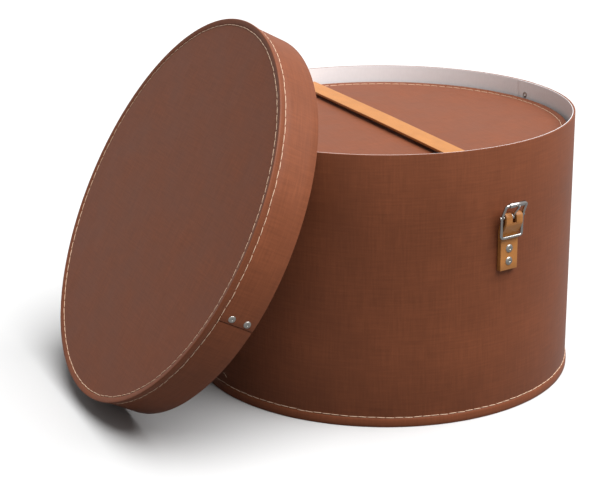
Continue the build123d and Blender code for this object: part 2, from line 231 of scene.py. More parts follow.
# ---- mesh making ----
def ring_of(bm, outline, steps, sweep=TURN):
    """Spins a closed outline of (radius, height) points about Z. A full turn closes on itself."""
    verts = [bm.verts.new((r, 0, z)) for r, z in outline]
    edges = [bm.edges.new(pair) for pair in zip(verts, verts[1:] + verts[:1])
             if max(v.co.x for v in pair) > 1e-7]
    whole = sweep > TURN - 1e-6
    if not whole:
        bm.faces.new(verts)
    spun = bmesh.ops.spin(bm, geom=verts + edges, cent=(0, 0, 0), axis=(0, 0, 1), dvec=(0, 0, 0),
                          angle=sweep, steps=steps, use_merge=whole, use_duplicate=False)
    if not whole:
        last = [v for v in spun["geom_last"] if isinstance(v, bmesh.types.BMVert)]
        bmesh.ops.contextual_create(bm, geom=last)
    bmesh.ops.remove_doubles(bm, verts=bm.verts, dist=1e-6)
    bmesh.ops.recalc_face_normals(bm, faces=bm.faces)


def round_edges(bm, width, angle=40):
    sharp = [e for e in bm.edges if e.is_manifold and e.calc_face_angle() > math.radians(angle)]
    bmesh.ops.bevel(bm, geom=sharp, offset=width, offset_type="OFFSET", affect="EDGES",
                    segments=2, profile=0.5, material=-1, clamp_overlap=True)


def wrap_map(bm, radius):
    """UVs in metres: round the axis and up it on walls, straight across on flat faces."""
    layer = bm.loops.layers.uv.new("UVMap")
    for face in bm.faces:
        flat = abs(face.normal.z) > 0.8
        middle = face.calc_center_median()
        home = math.atan2(middle.y, middle.x)
        for loop in face.loops:
            co = loop.vert.co
            turn = math.atan2(co.y, co.x) - home
            turn -= TURN * round(turn / TURN)
            loop[layer].uv = (co.x, co.y) if flat else ((home + turn) * radius, co.z)


def mark_wear(bm):
    """A point attribute that is 1 on rounded edges and 0 on flat and gently curved faces."""
    layer = bm.verts.layers.float.new("wear")
    for v in bm.verts:
        bend = max((v.normal.angle(f.normal, 0) for f in v.link_faces), default=0)
        v[layer] = min(1, max(0, (math.degrees(bend) - 8) / 20))


def piece(bm, name, body, stands_for, slot, smooth=35):
    """Turns a finished bmesh into a piece that rides on a body and stands for CAD nodes."""
    if not bm.faces:
        raise ValueError(f"{name} came out with no faces")
    if bm.calc_volume(signed=True) < 0:
        bmesh.ops.reverse_faces(bm, faces=bm.faces)
    bm.normal_update()
    mark_wear(bm)
    mesh = bpy.data.meshes.new(name)
    bm.to_mesh(mesh)
    bm.free()
    mesh.shade_smooth()
    mesh.set_sharp_from_angle(angle=math.radians(smooth))
    mesh.materials.append(materials()[slot])
    made = bpy.data.objects.new(name, mesh)
    bpy.context.scene.collection.objects.link(made)
    if body:
        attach(made, body)
    if stands_for:
        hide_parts(*stands_for)
    return made


def rounded_path(points, radius, closed=False, steps=6):
    """Points along straight runs whose corners are arcs of the given radius."""
    points = [Vector(p) for p in points]
    path = []
    count = len(points)
    for i, corner in enumerate(points):
        if not closed and i in (0, count - 1):
            path.append(corner)
            continue
        before, after = points[i - 1], points[(i + 1) % count]
        to_before, to_after = (before - corner).normalized(), (after - corner).normalized()
        bend = math.pi - to_before.angle(to_after)
        size = radius[i - 1] if isinstance(radius, (list, tuple)) else radius
        if bend < 1e-4:
            path.append(corner)
            continue
        setback = size * math.tan(bend / 2)
        start = corner + to_before * setback
        centre = corner + (to_before + to_after).normalized() * size / math.cos(bend / 2)
        axis = (start - centre).cross(corner + to_after * setback - centre).normalized()
        for k in range(steps + 1):
            path.append(centre + Matrix.Rotation(bend * k / steps, 3, axis) @ (start - centre))
    return path


def tube(bm, path, radius, sides=14, closed=False, taper=None):
    """A round bar along a path, built from circles joined one to the next."""
    loops = []
    count = len(path)
    side = None
    for i, spot in enumerate(path):
        ahead = path[(i + 1) % count] if closed or i < count - 1 else spot
        behind = path[i - 1] if closed or i else spot
        heading = (ahead - behind).normalized()
        side = heading.orthogonal() if side is None else side - heading * side.dot(heading)
        side.normalize()
        axes = Matrix((side, heading.cross(side), heading)).transposed().to_4x4()
        size = radius * (taper(i / (count - 1)) if taper else 1)
        made = bmesh.ops.create_circle(bm, cap_ends=False, segments=sides, radius=size,
                                       matrix=Matrix.Translation(spot) @ axes)
        loops.append(list({e for v in made["verts"] for e in v.link_edges}))
    pairs = list(zip(loops, loops[1:])) + ([(loops[-1], loops[0])] if closed else [])
    for one, two in pairs:
        bmesh.ops.bridge_loops(bm, edges=one + two)
    if not closed:
        for loop in (loops[0], loops[-1]):
            bmesh.ops.contextual_create(bm, geom=loop)
    bmesh.ops.recalc_face_normals(bm, faces=bm.faces)


def absorb(bm, part, axes):
    """Moves a bmesh into another, placed on the given axes."""
    part.transform(axes)
    mesh = bpy.data.meshes.new("pattern")
    part.to_mesh(mesh)
    part.free()
    bm.from_mesh(mesh)
    bpy.data.meshes.remove(mesh)


def lathe_piece(name, outline, axes, body, stands_for, slot, soften=None):
    """A closed outline turned a full circle on the given axes."""
    bm = bmesh.new()
    ring_of(bm, outline, 192)
    if soften:
        round_edges(bm, soften)
    bm.normal_update()
    wrap_map(bm, max(r for r, _ in outline))
    bm.transform(axes)
    return piece(bm, name, body, stands_for, slot)


# ---- materials ----
def node(tree, kind, links=None, **settings):
    """Adds a shader node, sets its values and links its inputs."""
    made = tree.nodes.new(kind)
    for key, value in settings.items():
        setattr(made, key, value)
    for socket, source in (links or {}).items():
        if isinstance(source, bpy.types.NodeSocket):
            tree.links.new(source, made.inputs[socket])
        else:
            made.inputs[socket].default_value = source
    return made


def new_material(name, roughness, metallic=0.0, specular=0.5):
    material = bpy.data.materials.new(name)
    material.use_nodes = True
    tree = material.node_tree
    shader = tree.nodes["Principled BSDF"]
    shader.inputs["Roughness"].default_value = roughness
    shader.inputs["Metallic"].default_value = metallic
    shader.inputs["Specular IOR Level"].default_value = specular
    return material, tree, shader


def rgba(rgb):
    return (*rgb, 1.0)


def blend_colour(tree, factor, one, two):
    made = node(tree, "ShaderNodeMix", data_type="RGBA")
    for socket, value in ((0, factor), (6, one), (7, two)):
        if isinstance(value, bpy.types.NodeSocket):
            tree.links.new(value, made.inputs[socket])
        else:
            made.inputs[socket].default_value = value
    return made.outputs[2]


def stretched_noise(tree, coords, stretch, grain, detail=3.0):
    """Noise with a grain in mm, longer along the axes with a small stretch value."""
    mapped = node(tree, "ShaderNodeMapping", {"Vector": coords, "Scale": stretch})
    return node(tree, "ShaderNodeTexNoise",
                {"Vector": mapped.outputs[0], "Scale": 1 / (grain * MM), "Detail": detail}
                ).outputs[0]


def spread(tree, value, low, high):
    """Stretches the middle of a noise value to the given range."""
    return node(tree, "ShaderNodeMapRange",
                {"Value": value, "From Min": 0.3, "From Max": 0.7, "To Min": low, "To Max": high}
                ).outputs[0]


def times(tree, one, two):
    return node(tree, "ShaderNodeMath", {0: one, 1: two}, operation="MULTIPLY").outputs[0]


def tinted(base, share):
    return rgba([c * share for c in base])


def dress(tree, shader, tint, *bumps):
    """Links the colour, and bumps laid one over the other: (height, strength, depth in mm)."""
    tree.links.new(tint, shader.inputs["Base Color"])
    below = {}
    for height, strength, depth in bumps:
        made = node(tree, "ShaderNodeBump", {"Height": height, "Strength": strength,
                                             "Distance": depth * MM, **below})
        below = {"Normal": made.outputs[0]}
    if bumps:
        tree.links.new(below["Normal"], shader.inputs["Normal"])


def surface_uv(tree):
    return node(tree, "ShaderNodeTexCoord").outputs["UV"]


def wear_of(tree):
    return node(tree, "ShaderNodeAttribute", attribute_name="wear").outputs["Fac"]


def make_board(name, base, edge):
    """Vulcanised fibreboard, calendered with a linen-cloth face and dyed through.

    The eye sees a flat brown with a faint crossed thread grain, slow cloudy mottling and paler
    rubbed edges; it is matte face on and silky when seen along the surface.
    """
    material, tree, shader = new_material(name, roughness=0.52, specular=0.18)
    shader.inputs["Sheen Weight"].default_value = 0.03
    shader.inputs["Sheen Roughness"].default_value = 0.45
    uv = surface_uv(tree)
    thread_pitch = 1.6             # mm; the real linen is 0.8, drawn coarser so that it shows
    along = stretched_noise(tree, uv, (1, 0.06, 1), thread_pitch)
    across = stretched_noise(tree, uv, (0.06, 1, 1), thread_pitch)
    weave = node(tree, "ShaderNodeMath", {0: along, 1: across}, operation="ADD").outputs[0]
    half = times(tree, weave, 0.5)
    cloud = stretched_noise(tree, uv, (1, 1, 1), 45, 4.0)
    speck = stretched_noise(tree, uv, (1, 1, 1), 3.5, 6.0)
    tint = blend_colour(tree, spread(tree, cloud, 0.0, 1.0), tinted(base, 1.02), tinted(base, 1.24))
    tint = blend_colour(tree, spread(tree, half, 0.0, 0.6), tint, tinted(base, 0.55))
    tint = blend_colour(tree, spread(tree, speck, 0.0, 0.16), tint, rgba(edge))
    worn = times(tree, wear_of(tree), spread(tree, speck, 0.05, 0.45))
    tint = blend_colour(tree, worn, tint, rgba(edge))
    tree.links.new(spread(tree, cloud, 0.46, 0.56), shader.inputs["Roughness"])
    dress(tree, shader, tint, (half, 0.22, 0.25), (cloud, 0.5, 0.8))
    return material


def make_paper(name, base):
    """Uncoated lining paper, pasted down: a chalky white with faint fibres and no shine."""
    material, tree, shader = new_material(name, roughness=0.85, specular=0.25)
    uv = surface_uv(tree)
    fibre = stretched_noise(tree, uv, (1, 0.4, 1), 2.2, 5.0)
    cloud = stretched_noise(tree, uv, (1, 1, 1), 60, 2.0)
    tint = blend_colour(tree, spread(tree, fibre, 0.0, 0.3), rgba(base), tinted(base, 0.86))
    tint = blend_colour(tree, spread(tree, cloud, 0.0, 0.3), tint, tinted(base, 0.9))
    dress(tree, shader, tint, (fibre, 0.2, 0.2))
    return material


def make_leather(name, base, edge):
    """Vegetable-tanned cowhide, waxed: warm tan, pebbled pores, darker burnished cut edges."""
    material, tree, shader = new_material(name, roughness=0.42, specular=0.45)
    uv = surface_uv(tree)
    pores = node(tree, "ShaderNodeTexVoronoi", {"Vector": uv, "Scale": 1 / (1.1 * MM)},
                 feature="DISTANCE_TO_EDGE").outputs[0]
    cloud = stretched_noise(tree, uv, (1, 0.5, 1), 11, 5.0)
    fine = stretched_noise(tree, uv, (1, 1, 1), 1.4, 4.0)
    tint = blend_colour(tree, spread(tree, cloud, 0.0, 0.6), rgba(base), tinted(base, 0.72))
    tint = blend_colour(tree, spread(tree, fine, 0.0, 0.25), tint, tinted(base, 1.25))
    tint = blend_colour(tree, times(tree, wear_of(tree), 0.75), tint, rgba(edge))
    tree.links.new(spread(tree, fine, 0.34, 0.52), shader.inputs["Roughness"])
    dress(tree, shader, tint, (pores, 0.25, 0.15), (cloud, 0.3, 0.4))
    return material


def make_thread(name, base):
    """Waxed linen thread, two plies twisted: pale, with fine slanting ply shadows."""
    material, tree, shader = new_material(name, roughness=0.6, specular=0.3)
    coords = node(tree, "ShaderNodeTexCoord").outputs["Object"]
    ply = stretched_noise(tree, coords, (1, 1, 1), 0.9, 2.0)
    tint = blend_colour(tree, spread(tree, ply, 0.0, 0.5), rgba(base), tinted(base, 0.65))
    dress(tree, shader, tint, (ply, 0.4, 0.2))
    return material


def make_metal(name, base, roughness, scuff):
    """Plated steel: a mirror-like skin over drawn wire, with slight hazy scuffs."""
    material, tree, shader = new_material(name, roughness=roughness, metallic=1.0)
    coords = node(tree, "ShaderNodeTexCoord").outputs["Object"]
    haze = stretched_noise(tree, coords, (1, 1, 1), 4, 5.0)
    tint = blend_colour(tree, spread(tree, haze, 0.0, 0.5), rgba(base), tinted(base, 0.8))
    dress(tree, shader, tint)
    tree.links.new(spread(tree, haze, roughness, roughness + scuff), shader.inputs["Roughness"])
    return material


MATERIALS = {}


def materials():
    """The object's materials by the slot they fill, made once."""
    if not MATERIALS:
        c = colours()
        MATERIALS["fibreboard"] = make_board("fibreboard_linen_calendered", c.board, c.board_edge)
        MATERIALS["lining_paper"] = make_paper("lining_paper_uncoated", c.paper)
        MATERIALS["tan_leather"] = make_leather("cowhide_vegetable_tanned", c.leather,
                                                c.leather_edge)
        MATERIALS["linen_thread"] = make_thread("linen_thread_waxed", c.thread)
        MATERIALS["chromed_steel"] = make_metal("steel_wire_chromed", c.plating, 0.14, 0.12)
        MATERIALS["nickelled_rivet"] = make_metal("steel_rivet_nickelled", c.rivet, 0.26, 0.14)
    return MATERIALS


# ---- boxes ----
def lap_share(turn):
    """How much of the lap's step is left after so much turn from the lapping end."""
    fade = max(0.0, 1 - turn / LAP_RUN)
    return fade * fade * (3 - 2 * fade)


def lapped_wall(name, inner, outer, low, high, axes, seam, body, stands_for, slot,
                outward=True, facing=1):
    """A strip of board or paper bent round, one end lapping over the other at the seam.

    facing is 1 where the lapping end runs on towards larger angles, -1 towards smaller ones.
    """
    step = sizes().lap_step * (1 if outward else -0.7)
    slit = (sizes().seam_gap if outward else 0.1 * MM) / outer
    bm = bmesh.new()
    levels = [low + (high - low) * k / 4 for k in range(5)]
    outline = [(inner, z) for z in levels] + [(outer, z) for z in reversed(levels)]
    ring_of(bm, outline, 240, sweep=TURN - slit)
    skin = outer if outward else inner
    for v in bm.verts:
        turn = math.atan2(v.co.y, v.co.x) % TURN
        if turn > TURN - slit / 2:
            turn = 0
        from_end = turn if facing > 0 else TURN - slit - turn
        radius = math.hypot(v.co.x, v.co.y)
        if abs(radius - skin) < 1e-6:
            grown = (radius + step * lap_share(from_end)) / radius
            v.co.x *= grown
            v.co.y *= grown
    round_edges(bm, min(sizes().edge_round, (outer - inner) * 0.3))
    bm.normal_update()
    wrap_map(bm, outer)
    bm.transform(axes @ Matrix.Rotation(seam, 4, "Z"))
    return piece(bm, name, body, stands_for, slot)


def make_drum(prefix, body, radius, seam):
    """Wall, lining, base, floor paper and bound bottom edge of one box."""
    floor, rim = extent(f"{prefix}_base")[0].z, extent(f"{prefix}_wall")[1].z
    wall_low = extent(f"{prefix}_wall")[0].z
    base_top = extent(f"{prefix}_base")[1].z
    foot = extent(f"{prefix}_base_binding")
    bore = radius - WALL_BOARD
    lapped_wall(f"{prefix}_drum_wall", bore + 0.1 * MM, radius, wall_low, rim, UPRIGHT,
                seam - LAP_OVER / radius, body, [f"{prefix}_wall"], "fibreboard")
    lapped_wall(f"{prefix}_drum_lining", bore - LINING, bore + 0.05 * MM, base_top + LINING,
                rim - 0.1 * MM, UPRIGHT, seam + LAP_OVER / radius, body, [f"{prefix}_wall_lining"],
                "lining_paper", outward=False, facing=-1)
    outside, height = foot[1].x, foot[1].z
    inside = radius * BINDING_REACH
    fold = BINDING_FOLD
    thick = outside - radius
    outline = [(inside, floor), (radius - thick, floor),
               (outside - 0.45 * thick, floor + 0.12 * MM),
               (outside - 0.1 * thick, floor + 0.9 * MM), (outside, floor + height * 0.4),
               (outside - 0.12 * thick, floor + (height - floor) * 0.8),
               (outside - 0.55 * thick, height - 0.25 * MM), (radius, height),
               (radius, floor + fold), (inside, floor + fold)]
    lathe_piece(f"{prefix}_bottom_binding", outline, UPRIGHT, body, [f"{prefix}_base_binding"],
                "fibreboard", soften=0.25 * MM)
    disc = [(0, floor), (inside - 0.1 * MM, floor), (inside - 0.1 * MM, floor + fold),
            (bore - 0.1 * MM, floor + fold), (bore - 0.1 * MM, base_top), (0, base_top)]
    lathe_piece(f"{prefix}_base_board", disc, UPRIGHT, body, [f"{prefix}_base"], "fibreboard",
                soften=0.2 * MM)
    sheet = [(0, base_top), (bore - 0.15 * MM, base_top), (bore - 0.15 * MM, base_top + LINING),
             (0, base_top + LINING)]
    lathe_piece(f"{prefix}_floor_paper", sheet, UPRIGHT, body, [f"{prefix}_base_lining"],
                "lining_paper")


def make_lid_shell(prefix, body, face, radius, seam):
    """Skirt, top board, linings and raised bound edge of one lid; face is at the top board."""
    under = -TOP_BOARD
    bore = radius - SKIRT_BOARD
    open_rim = under - SKIRT
    lapped_wall(f"{prefix}_skirt", bore, radius, open_rim, under, face, seam, body,
                [f"{prefix}_wall"], "fibreboard")
    lapped_wall(f"{prefix}_skirt_paper", bore - SKIRT_PAPER, bore - 0.05 * MM,
                open_rim + 0.5 * MM, under - 0.55 * MM, face, seam + LID_LAP_OVER / radius, body,
                [f"{prefix}_wall_lining"], "lining_paper", outward=False)
    edge = radius - 0.05 * MM
    disc = [(0, under), (edge, under), (edge, 0), (radius * 0.6, 0), (0, 0)]
    lathe_piece(f"{prefix}_top_board", disc, face, body, [f"{prefix}_top"], "fibreboard")
    low = under - LINING
    sheet = [(0, low), (bore - 0.1 * MM, low), (bore - 0.1 * MM, under), (0, under)]
    lathe_piece(f"{prefix}_top_paper", sheet, face, body, [f"{prefix}_top_lining"],
                "lining_paper")
    valley, crest, peak = radius - 3.9 * MM, radius + 1.4 * MM, 1.2 * MM
    band = -4.4 * MM
    outline = [(valley, 0), (valley + 0.5 * MM, 0.4 * MM), (valley + 1.4 * MM, 0.66 * MM),
               (radius - 1.0 * MM, 1.0 * MM), (crest - 1.0 * MM, peak),
               (crest - 0.45 * MM, peak - 0.06 * MM), (crest - 0.12 * MM, peak - 0.4 * MM),
               (crest, peak - 1.0 * MM), (crest - 0.08 * MM, -0.8 * MM),
               (crest - 0.3 * MM, -2.4 * MM), (radius + 0.7 * MM, band + 0.4 * MM),
               (radius + 0.35 * MM, band), (radius, band - 0.15 * MM), (radius, 0)]
    lathe_piece(f"{prefix}_bound_edge", outline, face, body, [f"{prefix}_edge_binding"],
                "fibreboard")


# ---- sewing ----
def stitch_row(name, axes, radius, height, outward, body, stands_for, seed, seam=None,
               tail=None):
    """Separate stitches round a circle; outward is 1 on a wall, 0 on a flat face.

    seam is the angle of a lap that the row climbs over, tail that of a loose thread end above it.
    """
    s = sizes()
    draw = random.Random(seed)
    count = round(TURN * radius / s.stitch_pitch)
    long = TURN * radius / count - s.stitch_gap
    one = bmesh.new()
    bmesh.ops.create_uvsphere(one, u_segments=6, v_segments=6, radius=0.5)
    for v in one.verts:
        v.co.z = math.copysign(0.5 * abs(2 * v.co.z) ** 0.6, v.co.z)
    bmesh.ops.scale(one, verts=one.verts, vec=(s.thread, s.thread, long))
    bmesh.ops.rotate(one, verts=one.verts, cent=(0, 0, 0),
                     matrix=Matrix.Rotation(math.pi / 2, 3, "X"))
    pattern = bpy.data.meshes.new(name + "_pattern")
    one.to_mesh(pattern)
    one.free()
    bm = bmesh.new()
    for i in range(count):
        turn = TURN * (i + draw.uniform(-0.03, 0.03)) / count
        wander = draw.uniform(-1, 1) * s.stitch_wander
        first = len(bm.verts)
        bm.from_mesh(pattern)
        bm.verts.ensure_lookup_table()
        verts = bm.verts[first:]
        slant = Matrix.Rotation(math.radians(draw.uniform(-3, 3)), 4, "X" if outward else "Z")
        climb = 0 if seam is None else s.lap_step * lap_share((turn - seam) % TURN)
        spot = Vector((radius + climb, 0, height + wander) if outward
                      else (radius + wander, 0, height))
        for v in verts:
            sink = (v.co.y / long * 2) ** 4 * s.thread * 0.45
            if outward:
                v.co.x -= sink
            else:
                v.co.z -= sink
            bow = v.co.y ** 2 / (2 * radius)
            v.co = slant @ v.co
            v.co.x -= bow
        bmesh.ops.transform(bm, matrix=Matrix.Rotation(turn, 4, "Z") @ Matrix.Translation(spot),
                            verts=verts)
    bpy.data.meshes.remove(pattern)
    if tail is not None:
        out = Vector((math.cos(tail), math.sin(tail), 0))
        along = Vector((-out.y, out.x, 0))
        ends = [(-1.6, 9.3), (0.4, 9.9), (4.4, 7.0)]
        tube(bm, [out * radius + along * a * MM + Vector((0, 0, height + b * MM)) for a, b in ends],
             s.thread * 0.4, sides=6)
    bm.transform(axes)
    return piece(bm, name, body, stands_for, "linen_thread", smooth=180)


# ---- rivets ----
def rivet_group(name, places, head, crown, grip, body, node_name):
    """Domed rivets with a set dimple, seated on the surface, and a clenched tail behind."""
    bm = bmesh.new()
    shank, tail = 1.5 * MM, head * 0.85
    back = -grip - 0.4 * MM
    outline = [(0, back + 0.8 * MM), (tail * 0.42, back + 0.75 * MM), (tail * 0.6, back),
               (tail * 0.9, back), (tail, back + 0.12 * MM), (tail, -grip),
               (shank, -grip), (shank, 0.05 * MM), (head - 0.1 * MM, 0.05 * MM), (head, 0.22 * MM),
               (head * 0.93, crown * 0.5), (head * 0.72, crown * 0.82), (head * 0.42, crown),
               (head * 0.25, crown * 0.98), (head * 0.17, crown * 0.62), (0, crown * 0.55)]
    for axes in places:
        part = bmesh.new()
        ring_of(part, outline, 28)
        absorb(bm, part, axes)
    return piece(bm, name, body, [node_name], "nickelled_rivet", smooth=50)


def rivet_heights(node_name, count, head):
    """Heights of equal rivets in a vertical row; head is the radius of the outermost heads."""
    low, high = extent(node_name)
    bottom, top = low.z + head, high.z - head
    return [bottom + (top - bottom) * i / (count - 1) for i in range(count)]


# ---- leather ----
def bent_line(points, radii):
    """The leaf's rounded path, and how far along it each of its points lies."""
    line = []
    for p in rounded_path([Vector((*p, 0)) for p in points], radii, steps=8):
        if not line or (p - line[-1]).length > 0.02 * MM:
            line.append(p)
    runs = [0.0]
    for a, b in zip(line, line[1:]):
        runs.append(runs[-1] + (b - a).length)
    return line, runs


def crossings(runs, patches, slot, tip):
    """Where the leaf's mesh is cut across: at bends, round holes, at slot ends and down the tip."""
    stops = set(runs) | {edge for patch in patches for edge in patch}
    stops |= set(slot[:2] if slot else ())
    for a, b in zip(runs, runs[1:]):
        parts = math.ceil((b - a) / (8 * MM))
        stops |= {a + (b - a) * k / parts for k in range(1, parts)}
    if tip:
        stops |= {runs[-1] - tip * k / 8 for k in range(1, 9)}
    stops = sorted(r for r in stops if not any(a + 1e-6 < r < b - 1e-6 for a, b in patches))
    return [r for i, r in enumerate(stops) if i == 0 or r - stops[i - 1] > 2e-5]


def punch_hole(bm, corners, vert, centre, half_length, radius):
    """Fills one cell of the leaf with a face ring round a round-ended hole."""
    turns = [TURN * k / 16 for k in range(16)]
    straight = half_length - radius
    rim = [vert(centre + math.sin(t) * radius + math.copysign(straight, math.sin(t)),
                math.cos(t) * radius) for t in turns]
    outer = [bm.edges.get(pair) or bm.edges.new(pair)
             for pair in zip(corners, corners[1:] + corners[:1])]
    inner = [bm.edges.new(pair) for pair in zip(rim, rim[1:] + rim[:1])]
    bmesh.ops.bridge_loops(bm, edges=outer + inner)


def leather(name, body, stands_for, axes, points, radii, width, thickness, slot=None, holes=(),
            tip=0.0, waist=None):
    """A leaf of leather bent along (out, up) points on a wall's axes, with rounded cut edges.

    slot is (first, last, width) of a way cut out of the middle. holes are (centre, half length,
    radius) of round-ended holes, a negative centre being measured back from the far end. tip is
    the length of the tapered far end, and waist is (centre, reach, share) of a narrowing.
    """
    line, runs = bent_line(points, radii)
    total = runs[-1]
    margin = 2.6 * MM
    holes = [(c if c > 0 else total + c, h, r) for c, h, r in holes]
    patches = [(c - h - margin, c + h + margin) for c, h, _ in holes]
    stops = crossings(runs, patches, slot, tip)

    def place(run, side):
        i = max(k for k in range(len(runs) - 1) if runs[k] <= run + 1e-9)
        here = line[i].lerp(line[i + 1], (run - runs[i]) / (runs[i + 1] - runs[i]))
        heading = line[i + 1] - line[i]
        if i and run - runs[i] < 1e-9:
            heading = heading.normalized() + (line[i] - line[i - 1]).normalized()
        heading.normalize()
        spot = here + Vector((heading.y, -heading.x, 0)) * thickness / 2
        return axes @ Vector((side, spot.y, spot.x))

    half = slot[2] / 2 if slot else 3.4 * MM
    columns = [-width / 2, -width * 0.43, -half, half, width * 0.43, width / 2]
    bm = bmesh.new()
    uv = bm.loops.layers.uv.new("UVMap")
    at = {}

    def vert(run, side):
        narrow = 1.0
        if tip and total - run < tip:
            narrow = max(0.3, math.sqrt(max(0.0, 1 - ((tip - (total - run)) / tip) ** 2)))
        if waist:
            narrow *= 1 - waist[2] * math.exp(-((run - waist[0]) / waist[1]) ** 2)
        made = bm.verts.new(place(run, side * narrow))
        at[made] = (side * narrow, run)
        return made

    rows = [[vert(run, side) for side in columns] for run in stops]
    for i in range(len(rows) - 1):
        middle = (stops[i] + stops[i + 1]) / 2
        for j in range(len(columns) - 1):
            corners = (rows[i][j], rows[i][j + 1], rows[i + 1][j + 1], rows[i + 1][j])
            hole = next((h for h, (a, b) in zip(holes, patches) if a < middle < b), None)
            if j == 2 and slot and slot[0] < middle < slot[1]:
                continue
            if j != 2 or not hole:
                bm.faces.new(corners)
                continue
            punch_hole(bm, corners, vert, *hole)
    bmesh.ops.delete(bm, geom=[v for v in bm.verts if not v.link_faces], context="VERTS")
    bmesh.ops.recalc_face_normals(bm, faces=bm.faces)
    bm.normal_update()
    along = line[1] - line[0]
    outward = axes.to_3x3() @ Vector((0, -along.x, along.y))
    if rows[0][0].link_faces[0].normal.dot(outward) < 0:
        bmesh.ops.reverse_faces(bm, faces=bm.faces)
    for face in bm.faces:
        for loop in face.loops:
            loop[uv].uv = at[loop.vert]
    bmesh.ops.solidify(bm, geom=bm.faces[:], thickness=thickness)
    bmesh.ops.recalc_face_normals(bm, faces=bm.faces)
    round_edges(bm, sizes().leather_round, angle=50)
    return piece(bm, name, body, stands_for, "tan_leather", smooth=40)


# ---- buckles ----
def rod(bm, axes, radius, low, high, bore=0.0):
    """A round bar or tube along Z with softened ends."""
    soft = 0.2 * MM
    part = bmesh.new()
    ring_of(part, [(bore, low), (radius - soft, low), (radius, low + soft), (radius, high - soft),
                   (radius - soft, high), (bore, high)], 24)
    absorb(bm, part, axes)


def round_tip(share):
    """Thickness of a prong along its length: even, then rounded off over the last fifth."""
    return 1 if share < 0.8 else math.sqrt(max(0.05, 1 - ((share - 0.8) / 0.2) ** 2))


def make_buckle(prefix, axes, frame_body, roller_body, prong_body, leaf, depths, wire, roller, pin,
                reach):
    """Folded leather tab, wire frame, roller and prong; depths are the bars' distances out."""
    bar, top, low = (d * MM for d in depths)
    leaf, wire, roller, pin, reach = (d * MM for d in (leaf, wire, roller, pin, reach))
    sideways = Matrix.Rotation(math.pi / 2, 4, "Y")
    bore = wire + 0.15 * MM
    turn = bore + leaf / 2
    tab_body = "box" if prefix == "buckle" else "inner_box"
    back, front = leaf / 2 + FIT, 1.5 * leaf + FIT
    dip = -2 * MM
    bulge = max(0, bar - 3 * MM) * 1.1
    loop = [(back, TAB_END), (back, -13 * MM), (bar - turn, dip), (bar - turn, turn),
            (bar + turn, turn), (bar + turn, dip - bulge), (front, -16.5 * MM), (front, TAB_END)]
    steep = [6 * MM, 4 * MM, turn * 0.98, turn * 0.98, 7 * MM if bulge else 4 * MM, 4 * MM]
    half_loop = turn * math.pi / 2
    fold = -TAB_END + 0.4 * MM + half_loop
    slot_half = half_loop + 5 * MM
    leather(f"{prefix}_folded_tab", tab_body, [f"{prefix}_tab"], axes, loop, steep, TAB_WIDTH, leaf,
            slot=(fold - slot_half, fold + slot_half, TAB_SLOT), waist=(fold, 12 * MM, 0.05))

    corners = [(-1, LOW_BAR, low), (1, LOW_BAR, low), (1, 0, bar), (1, TOP_BAR, top),
               (-1, TOP_BAR, top), (-1, 0, bar)]
    path = rounded_path([(side * HALF_FRAME, height, depth) for side, height, depth in corners],
                        2.2 * MM, closed=True)
    bm = bmesh.new()
    part = bmesh.new()
    tube(part, path, wire, closed=True)
    absorb(bm, part, axes)
    reach_out = HALF_FRAME + wire + 0.8 * MM
    rod(bm, axes @ Matrix.Translation((0, 0, bar)) @ sideways, wire, -reach_out, reach_out)
    piece(bm, f"{prefix}_wire_frame", frame_body, [f"{prefix}_frame"], "chromed_steel",
          smooth=60)

    bm = bmesh.new()
    rod(bm, axes @ Matrix.Translation((0, TOP_BAR, top)) @ sideways, roller, -8.1 * MM, 9.2 * MM,
        wire + 0.08 * MM)
    piece(bm, f"{prefix}_roller_tube", roller_body, [f"{prefix}_roller"], "chromed_steel",
          smooth=60)

    out = top - bar
    over_roller = math.asin((roller + pin + 0.3 * MM) / math.hypot(out, TOP_BAR))
    tilt = math.atan2(out, TOP_BAR) + over_roller
    heading = Vector((0, math.cos(tilt), math.sin(tilt)))
    pivot = Vector((0, 0, bar))
    eye = wire + 0.08 * MM
    bm = bmesh.new()
    rod(bm, axes @ Matrix.Translation(pivot) @ sideways, eye + pin, -1.7 * MM, 1.7 * MM, eye)
    part = bmesh.new()
    steps = 12
    root = eye + 0.3 * MM
    spine = [pivot + heading * (root + (reach + pin - root) * k / steps)
             for k in range(steps + 1)]
    tube(part, spine, pin, taper=round_tip)
    absorb(bm, part, axes)
    piece(bm, f"{prefix}_round_prong", prong_body, [f"{prefix}_prong"], "chromed_steel",
          smooth=60)


# ---- operators ----
class HATBOX_OT_big_box(bpy.types.Operator):
    """Wall, linings, base and bottom binding of the big box"""
    bl_idname = "hatbox.big_box"
    bl_label = "Big box"

    def execute(self, context):
        make_drum("outer", "box", BIG_RADIUS, SEAM_AZIMUTH)
        return {"FINISHED"}


class HATBOX_OT_small_box(bpy.types.Operator):
    """Wall, linings, base and bottom binding of the small box"""
    bl_idname = "hatbox.small_box"
    bl_label = "Small box"

    def execute(self, context):
        make_drum("inner", "inner_box", SMALL_RADIUS, INNER_SEAM_AZIMUTH)
        return {"FINISHED"}


class HATBOX_OT_lids(bpy.types.Operator):
    """Skirt, top board, linings and bound edge of both lids"""
    bl_idname = "hatbox.lids"
    bl_label = "Lids"

    def execute(self, context):
        make_lid_shell("lid", "lid", LID_FACE, LID_RADIUS + 0.05 * MM, LID_SEAM)
        make_lid_shell("inner_lid", "inner_box", INNER_LID_FACE, INNER_LID_RADIUS, INNER_LID_SEAM)
        return {"FINISHED"}


